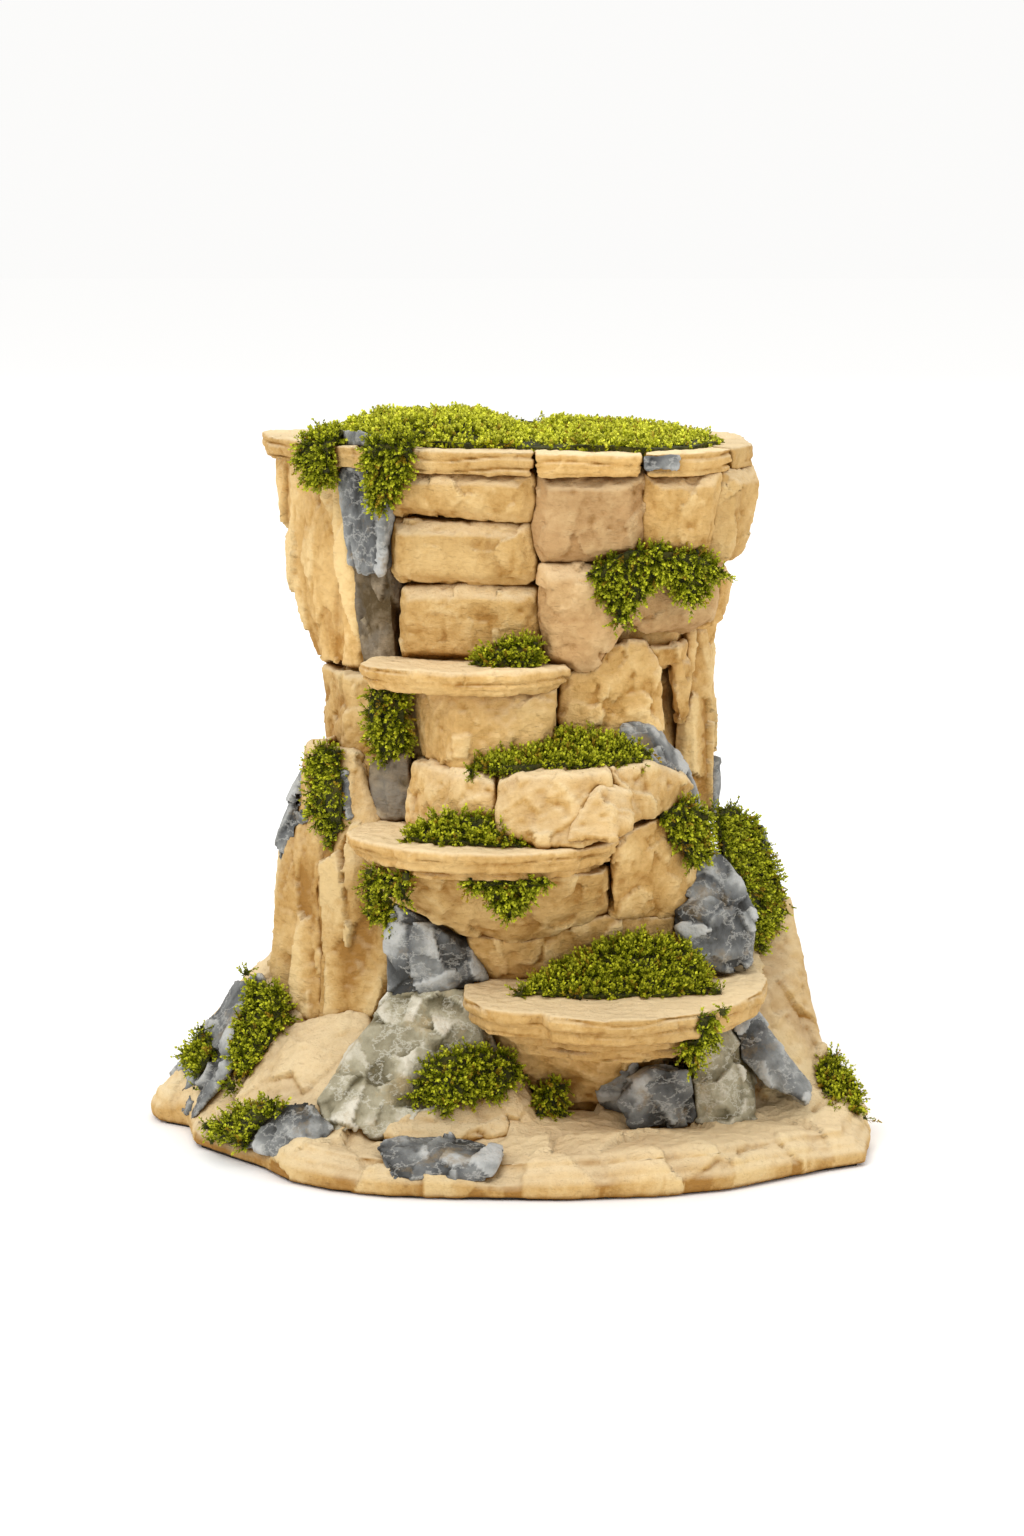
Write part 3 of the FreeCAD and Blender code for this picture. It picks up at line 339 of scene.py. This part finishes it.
materials = {
    "sandstone_resin": stone_material(
        "sandstone", [(176, 128, 62), (204, 161, 95), (219, 178, 113), (240, 207, 147)],
        (138, 92, 22), (229, 195, 134), 0.5, (248, 225, 182), 0.9, 1.0),
    "tan_sandstone_resin": stone_material(
        "tan_sandstone", [(158, 116, 64), (190, 150, 100), (203, 165, 114), (220, 186, 136)],
        (122, 82, 26), (198, 156, 106), 0.5, (234, 208, 164), 0.9, 1.0),
    "stained_sandstone_resin": stone_material(
        "stained_sandstone", [(84, 68, 42), (118, 102, 78), (142, 126, 102), (186, 170, 144)],
        (84, 56, 20), (118, 112, 102), 0.8, (196, 176, 140), 0.8, 1.0),
    "slate_resin": slate_material(
        "slate", [(56, 56, 54), (98, 99, 98), (130, 131, 128), (184, 184, 180)],
        (58, 50, 36), (142, 118, 78), (196, 194, 186)),
    "pale_slate_resin": slate_material(
        "pale_slate", [(96, 88, 62), (142, 134, 108), (172, 164, 138), (218, 211, 192)],
        (84, 70, 34), (176, 150, 100), (224, 220, 204)),
}


def moss_material(name, dark, middle, bright, brown):
    """Moss leaves: dark at the foot of a sprig and bright at its tip, each sprig with a tone of
    its own and a few gone brown."""
    material, tree, shader = new_material(name, 0.6, 0.12)
    along = attribute(tree, "tip")
    colour = ramp(tree, along, [(0.0, linear(*dark)), (0.45, linear(*middle)), (1.0, linear(*bright))])
    tone = attribute(tree, "tone")
    colour = mix(tree, 1.0, colour, ramp(tree, tone, [(0.0, grey(0.62)), (0.85, grey(1.3))]), "MULTIPLY")
    old = ramp(tree, tone, [(0.93, grey(0)), (0.94, grey(0.75))])
    colour = mix(tree, old, colour, linear(*brown))
    tree.links.new(colour, shader.inputs["Base Color"])
    return material


sprig_material = moss_material("moss_sprigs", (40, 48, 0), (112, 120, 2), (192, 194, 48), (138, 96, 26))
carpet_material = moss_material("carpet_sprigs", (94, 100, 2), (164, 170, 12), (228, 228, 80), (160, 124, 40))

bed_material, bed_tree, bed_shader = new_material("moss_bed", 0.95)
bed_colour = ramp(bed_tree, noise_node(bed_tree, 2.0, detail=4),
                  [(0.3, linear(28, 30, 5)), (0.55, linear(66, 66, 12)), (0.8, linear(98, 84, 30))])
bed_tree.links.new(bed_colour, bed_shader.inputs["Base Color"])
bed_tree.links.new(bump(bed_tree, noise_node(bed_tree, 1.1, detail=4), 1.0, 1.0),
                   bed_shader.inputs["Normal"])

# Painted shadow: the foam mat is a real piece under the base, and its dark colour stands for the thin shadow
# line along the foot of the base.
foam_shadow_line_material, foam_tree, foam_shader = new_material("foam", 0.95)
foam_shadow_line_colour = ramp(foam_tree, noise_node(foam_tree, 1.2),
                   [(0.3, linear(40, 36, 30)), (0.7, linear(66, 60, 52))])
foam_tree.links.new(foam_shadow_line_colour, foam_shader.inputs["Base Color"])
foam_tree.links.new(bump(foam_tree, noise_node(foam_tree, 0.6), 0.3, 0.8), foam_shader.inputs["Normal"])

# ---------------------------------------------------------------- stone skins


def remeshed(name, source, voxel, rounding):
    """A new object with a copy of a CAD mesh, remeshed evenly and worn round at its edges."""
    made = bpy.data.objects.new(name, source.data.copy())
    scene.collection.objects.link(made)
    remesh = made.modifiers.new("remesh", "REMESH")
    remesh.mode = "VOXEL"
    remesh.voxel_size = voxel
    wear = made.modifiers.new("wear", "SMOOTH")
    wear.factor = 0.5
    wear.iterations = rounding
    graph = bpy.context.evaluated_depsgraph_get()
    mesh = bpy.data.meshes.new_from_object(made.evaluated_get(graph))
    made.modifiers.clear()
    made.data = mesh
    mesh.name = name
    mesh.materials.clear()
    return made


def mesh_arrays(mesh):
    """The points and the vertex normals of a mesh."""
    points = np.empty(len(mesh.vertices) * 3)
    mesh.vertices.foreach_get("co", points)
    normals = np.empty(len(mesh.vertices) * 3)
    mesh.vertex_normals.foreach_get("vector", normals)
    return points.reshape(-1, 3), normals.reshape(-1, 3)


def store(mesh, name, values):
    layer = mesh.attributes.new(name, "FLOAT", "POINT")
    layer.data.foreach_set("value", np.ascontiguousarray(values, dtype=np.float32))


# How each kind of stone is worn and carved. Lengths are in millimetres.
#   voxel, rounding   mesh size and passes of wear
#   lump, chip, grit  (wavelength, height) of broad lumps, chiselled faces and grit
#   stretch           how much the lumps are drawn out along X, Y and Z
#   swell             how far the whole skin stands out, to close the joints
#   strata            (spacing, depth) of level cracks in the side faces
#   pits              depth of scattered pits
KINDS = {
    "block": dict(voxel=0.65, rounding=2, swell=0.4, lump=(14, 0.6), chip=(9, 0.8), grit=(2.0, 0.3),
                  stretch=(1, 1, 1), strata=(0, 0), pits=0.5),
    "rugged": dict(voxel=0.75, rounding=3, swell=0.4, lump=(12, 1.1), chip=(6.5, 1.0), grit=(2.2, 0.34),
                   stretch=(1, 1, 0.8), strata=(0, 0), pits=0.6),
    "fluted": dict(voxel=0.75, rounding=2, swell=0.4, lump=(9, 1.5), chip=(8, 1.9), grit=(2.2, 0.34),
                   stretch=(1, 1, 0.3), strata=(0, 0), pits=0.5),
    "ledge": dict(voxel=0.6, rounding=1, swell=0.2, lump=(12, 0.5), chip=(5, 0.35), grit=(2.0, 0.2),
                  stretch=(1, 1, 1), strata=(3.3, 1.2), pits=0.3),
    "slate": dict(voxel=0.65, rounding=1, swell=0.3, lump=(11, 0.7), chip=(9, 1.7), grit=(2.0, 0.22),
                  stretch=(1, 1, 1), strata=(0, 0), pits=0.3),
    "strip": dict(voxel=0.6, rounding=1, swell=0.5, lump=(7, 1.0), chip=(6, 1.6), grit=(2.0, 0.3),
                  stretch=(1, 1, 0.3), strata=(0, 0), pits=0.5),
    "hill": dict(voxel=0.95, rounding=7, swell=0.6, lump=(24, 3.4), chip=(15, 2.6), grit=(2.4, 0.36),
                 stretch=(1, 1, 0.7), strata=(0, 0), pits=0.6),
    "core": dict(voxel=1.1, rounding=4, swell=0.4, lump=(13, 1.3), chip=(8, 1.0), grit=(3, 0.3),
                 stretch=(1, 1, 0.8), strata=(0, 0), pits=0.5),
}

LIP = 1.1                 # how far the foot of the base hangs down over the edge of the foam mat
LIP_TOP = 5               # the lip starts at this height
LIP_FADE = 4              # and is whole this far below it
FLAT_FOOT = 1.5           # the carving starts at this height
FOOT_FADE = 6             # and is whole this far above it
LEAST_CARVING = 0.15      # share of the carving at the foot
LOWEST = 0.1              # no point of a skin goes below this height


def carve(made, kind, seed):
    """Push a skin's points in and out, and keep how high each stands for the paint."""
    mesh = made.data
    points, normals = mesh_arrays(mesh)
    look = KINDS[kind]
    at = points / MM
    drawn = at * look["stretch"]
    lump = fractal_noise(drawn, look["lump"][0], 2, seed) / 1.5
    chip = chips(drawn + 1.2 * lump[:, None], look["chip"][0], seed + 40)
    grit = fractal_noise(at, look["grit"][0], 2, seed + 80) / 1.5
    pits = np.clip(value_noise(at, 2.3, seed + 120) - 0.45, 0, 1) * 1.8
    lift = look["swell"] + lump * look["lump"][1] + chip * look["chip"][1]
    lift = lift + grit * look["grit"][1] - pits * look["pits"]
    spacing, depth = look["strata"]
    split = np.zeros(len(points))
    if spacing:
        level = at[:, 2] / spacing + 0.5 * value_noise(at, 16, seed + 160)
        crack = np.clip(1 - np.abs(level - np.round(level)) / 0.2, 0, 1)
        broken = np.clip(0.6 + value_noise(at, 9, seed + 170), 0, 1)
        side = np.clip(1.6 - 1.6 * np.abs(normals[:, 2]), 0, 1)
        split = crack * broken * side
        lift -= split * depth
    lift *= np.clip((at[:, 2] - FLAT_FOOT) / FOOT_FADE, LEAST_CARVING, 1)
    moved = points + normals * (lift * MM)[:, None]
    moved[:, 2] -= LIP * MM * np.clip((LIP_TOP - at[:, 2]) / LIP_FADE, 0, 1)
    moved[:, 2] = np.maximum(moved[:, 2], LOWEST * MM)
    mesh.vertices.foreach_set("co", moved.ravel())
    mesh.update()
    detail = (chip * look["chip"][1] * 0.7 + grit * look["grit"][1] - pits * look["pits"]
              + 0.25 * lump - 0.7 * split)
    store(mesh, "height", np.clip(0.5 + 0.75 * detail, 0, 1))
    store(mesh, "tone", np.full(len(points), whole_hash(np.array([[seed, 3, 7]]), SEED)[0]))
    mesh.shade_smooth()


def kind_of(name, slot):
    """The entry of KINDS that a node is carved by."""
    if name in ("slate_strip", "crown_seam_stone", "leaning_slate"):
        return "strip"
    if "slate" in slot:
        return "slate"
    if "ledge" in name and "support" not in name and "pedestal" not in name or "cap_slab" in name:
        return "ledge"
    if name.startswith("column") or name in ("crown_left_stone", "waist_right_pillar"):
        return "fluted"
    if name in ("base_casting", "rear_hills"):
        return "hill"
    if name.endswith("_casting") or name == "crown_deck":
        return "core"
    blocks = ("crown_corner_stone", "waist_front_stone")
    if name.startswith("crown_stone") or "side_stones" in name or name in blocks:
        return "block"
    return "rugged"


slots = {entry["node"]: entry["material_slot"] for entry in frame["record"]["subparts"]}
for number, (name, source) in enumerate(sorted(frame["nodes"].items())):
    slot = slots[name]
    if slot in materials:
        kind = kind_of(name, slot)
        skin = remeshed(f"{name}_skin", source, KINDS[kind]["voxel"] * MM, KINDS[kind]["rounding"])
        carve(skin, kind, STONE_SEED + number * STONE_SEED_STEP)
        skin.data.materials.append(materials[slot])
        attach(skin, "root")
        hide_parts(name)

# The foam mat's dark colour paints the shadow line under the base's edge.
mat = frame["nodes"]["base_mat"]
mat.data.materials.clear()
mat.data.materials.append(foam_shadow_line_material)

# ---------------------------------------------------------------- moss

LEAVES = 9                # leaves on one sprig
TEMPLATES = 9             # different sprigs in each pad
SPRIG_LEAN = 0.42         # spread of the sprigs' directions
SPRIG_DEPTH = 0.5         # how deep a sprig is rooted in its bed, in millimetres
BEDDED = 1.9              # a moss bed this close to a stone, in millimetres, lies against it
BED_VOXEL = 1.0 * MM
BED_ROUNDING = 6          # passes of wear on a moss bed
BED_INSET = 1.1           # how far a bed is drawn in, in millimetres


def sprig_template(rng, length, width, leaf, curl):
    """One sprig of moss along +Z from the origin: its points, its faces and how far along the
    sprig each point is. Leaves are small diamonds that stand out on all sides."""
    points, faces, along = [], [], []

    def stem(t):
        return np.array([curl * length * t * t, 0.0, length * t])

    for i in range(LEAVES):
        t = 0.12 + 0.88 * i / (LEAVES - 1)
        turn = i * 2.4 + rng.uniform(-0.4, 0.4)
        rise = 0.55 + 0.5 * t + rng.uniform(-0.15, 0.15)
        out = np.array([math.cos(turn) * math.cos(rise), math.sin(turn) * math.cos(rise), math.sin(rise)])
        side = np.array([-math.sin(turn), math.cos(turn), 0.0])
        reach = leaf * (1.1 - 0.45 * t) * rng.uniform(0.8, 1.2)
        root = stem(t)
        first = len(points)
        points += [root, root + out * reach * 0.45 + side * width / 2, root + out * reach,
                   root + out * reach * 0.45 - side * width / 2]
        faces.append((first, first + 1, first + 2, first + 3))
        along += [t * 0.8, t * 0.85 + 0.1, min(1.0, t + 0.2), t * 0.85 + 0.1]
    first = len(points)
    for t in (0.0, 0.5, 1.0):
        middle = stem(t)
        points += [middle + (0, -width * 0.16, 0), middle + (0, width * 0.16, 0)]
        along += [t * 0.5, t * 0.5]
    faces += [(first, first + 1, first + 3, first + 2), (first + 2, first + 3, first + 5, first + 4)]
    return np.array(points), np.array(faces), np.array(along)


def scatter_on(mesh, spacing, rng):
    """Points spread evenly over a mesh, with the normal at each."""
    mesh.calc_loop_triangles()
    count = len(mesh.loop_triangles)
    corner = np.empty(count * 3, dtype=np.int64)
    mesh.loop_triangles.foreach_get("vertices", corner)
    points, normals = mesh_arrays(mesh)
    corner = corner.reshape(-1, 3)
    a, b, c = (points[corner[:, k]] for k in range(3))
    area = np.linalg.norm(np.cross(b - a, c - a), axis=1) / 2
    wanted = int(area.sum() / spacing ** 2)
    chosen = rng.choice(count, size=wanted, p=area / area.sum())
    u = rng.random(wanted)
    v = rng.random(wanted)
    flip = u + v > 1
    u[flip], v[flip] = 1 - u[flip], 1 - v[flip]
    w = 1 - u - v
    spots = a[chosen] * w[:, None] + b[chosen] * u[:, None] + c[chosen] * v[:, None]
    facing = normals[corner[chosen, 0]]
    return spots, facing


def in_the_open(spot, normal, stones):
    """False where a moss bed faces a stone that it lies against."""
    nearest, _, _, distance = stones.find_nearest(Vector(spot), BEDDED * MM)
    return nearest is None or (nearest - Vector(spot)).dot(Vector(normal)) < 0.75 * distance


def grow(name, bed, spacing, lengths, width, leaf, hang, material, rng, stones):
    """Cover a moss bed with sprigs, except where it lies against the stones. Sprigs lean along
    the surface's normal, with some chance, and hang by the share given."""
    spots, facing = scatter_on(bed.data, spacing, rng)
    keep = np.array([in_the_open(spot, normal, stones) for spot, normal in zip(spots, facing)])
    spots, facing = spots[keep], facing[keep]
    templates = [sprig_template(rng, 1.0, width, leaf, rng.uniform(-0.35, 0.35)) for _ in range(TEMPLATES)]
    all_points, all_faces, all_tips, all_tones = [], [], [], []
    start = 0
    for spot, normal in zip(spots, facing):
        points, faces, along = templates[rng.integers(len(templates))]
        sag = np.array([0, 0, 0.25 - hang * (1 - abs(normal[2]))])
        away = normal * 0.75 + rng.normal(0, SPRIG_LEAN, 3) + sag
        away /= np.linalg.norm(away)
        side = np.cross(away, rng.normal(0, 1, 3))
        side /= np.linalg.norm(side)
        other = np.cross(away, side)
        size = rng.uniform(*lengths) * MM
        placed = (points[:, :1] * side + points[:, 1:2] * other + points[:, 2:] * away) * size
        all_points.append(placed + spot - normal * SPRIG_DEPTH * MM)
        all_faces.append(faces + start)
        all_tips.append(along)
        all_tones.append(np.full(len(points), rng.random()))
        start += len(points)
    mesh = bpy.data.meshes.new(name)
    mesh.from_pydata(np.concatenate(all_points).tolist(), [], np.concatenate(all_faces).tolist())
    store(mesh, "tip", np.concatenate(all_tips))
    store(mesh, "tone", np.concatenate(all_tones))
    mesh.materials.append(material)
    made = bpy.data.objects.new(name, mesh)
    scene.collection.objects.link(made)
    return made


def stone_tree():
    """All the CAD solids but the moss, to look up what lies close by."""
    points, faces = [], []
    for name, source in frame["nodes"].items():
        if slots[name] != "moss":
            start = len(points)
            points += [vertex.co for vertex in source.data.vertices]
            faces += [[start + i for i in face.vertices] for face in source.data.polygons]
    return BVHTree.FromPolygons(points, faces)


def shift_bed(bed, amount_mm, seed):
    """Draw a moss bed in, with soft lumps, so that the sprigs make up the difference."""
    points, normals = mesh_arrays(bed.data)
    lumps = fractal_noise(points / MM, 7, 2, seed)
    lift = (lumps * 0.8 - amount_mm) * MM
    bed.data.vertices.foreach_set("co", (points + normals * lift[:, None]).ravel())
    bed.data.update()
    bed.data.shade_smooth()


DRAPED = dict(width=0.2, leaf=0.36, material=sprig_material)
MOSS_LOOKS = {
    "moss_crown_carpet": dict(spacing=1.2 * MM, lengths=(1.8, 2.9), width=0.32, leaf=0.5, hang=0.2,
                              material=carpet_material),
    "moss_crown_drapes": dict(DRAPED, spacing=0.95 * MM, lengths=(2.4, 4.4), hang=1.0),
    "moss_ledges": dict(DRAPED, spacing=0.95 * MM, lengths=(2.4, 4.2), hang=0.8),
    "moss_slopes": dict(DRAPED, spacing=1.0 * MM, lengths=(2.4, 4.2), hang=0.8),
}
stones = stone_tree()
rng = np.random.default_rng(SEED)
for number, (name, look) in enumerate(MOSS_LOOKS.items()):
    bed = remeshed(f"{name}_bed", frame["nodes"][name], BED_VOXEL, BED_ROUNDING)
    shift_bed(bed, BED_INSET, MOSS_SEED + number)
    bed.data.materials.append(bed_material)
    sprigs = grow(f"{name}_sprigs", bed, rng=rng, stones=stones, **look)
    for piece in (bed, sprigs):
        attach(piece, "root")
        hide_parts(name)
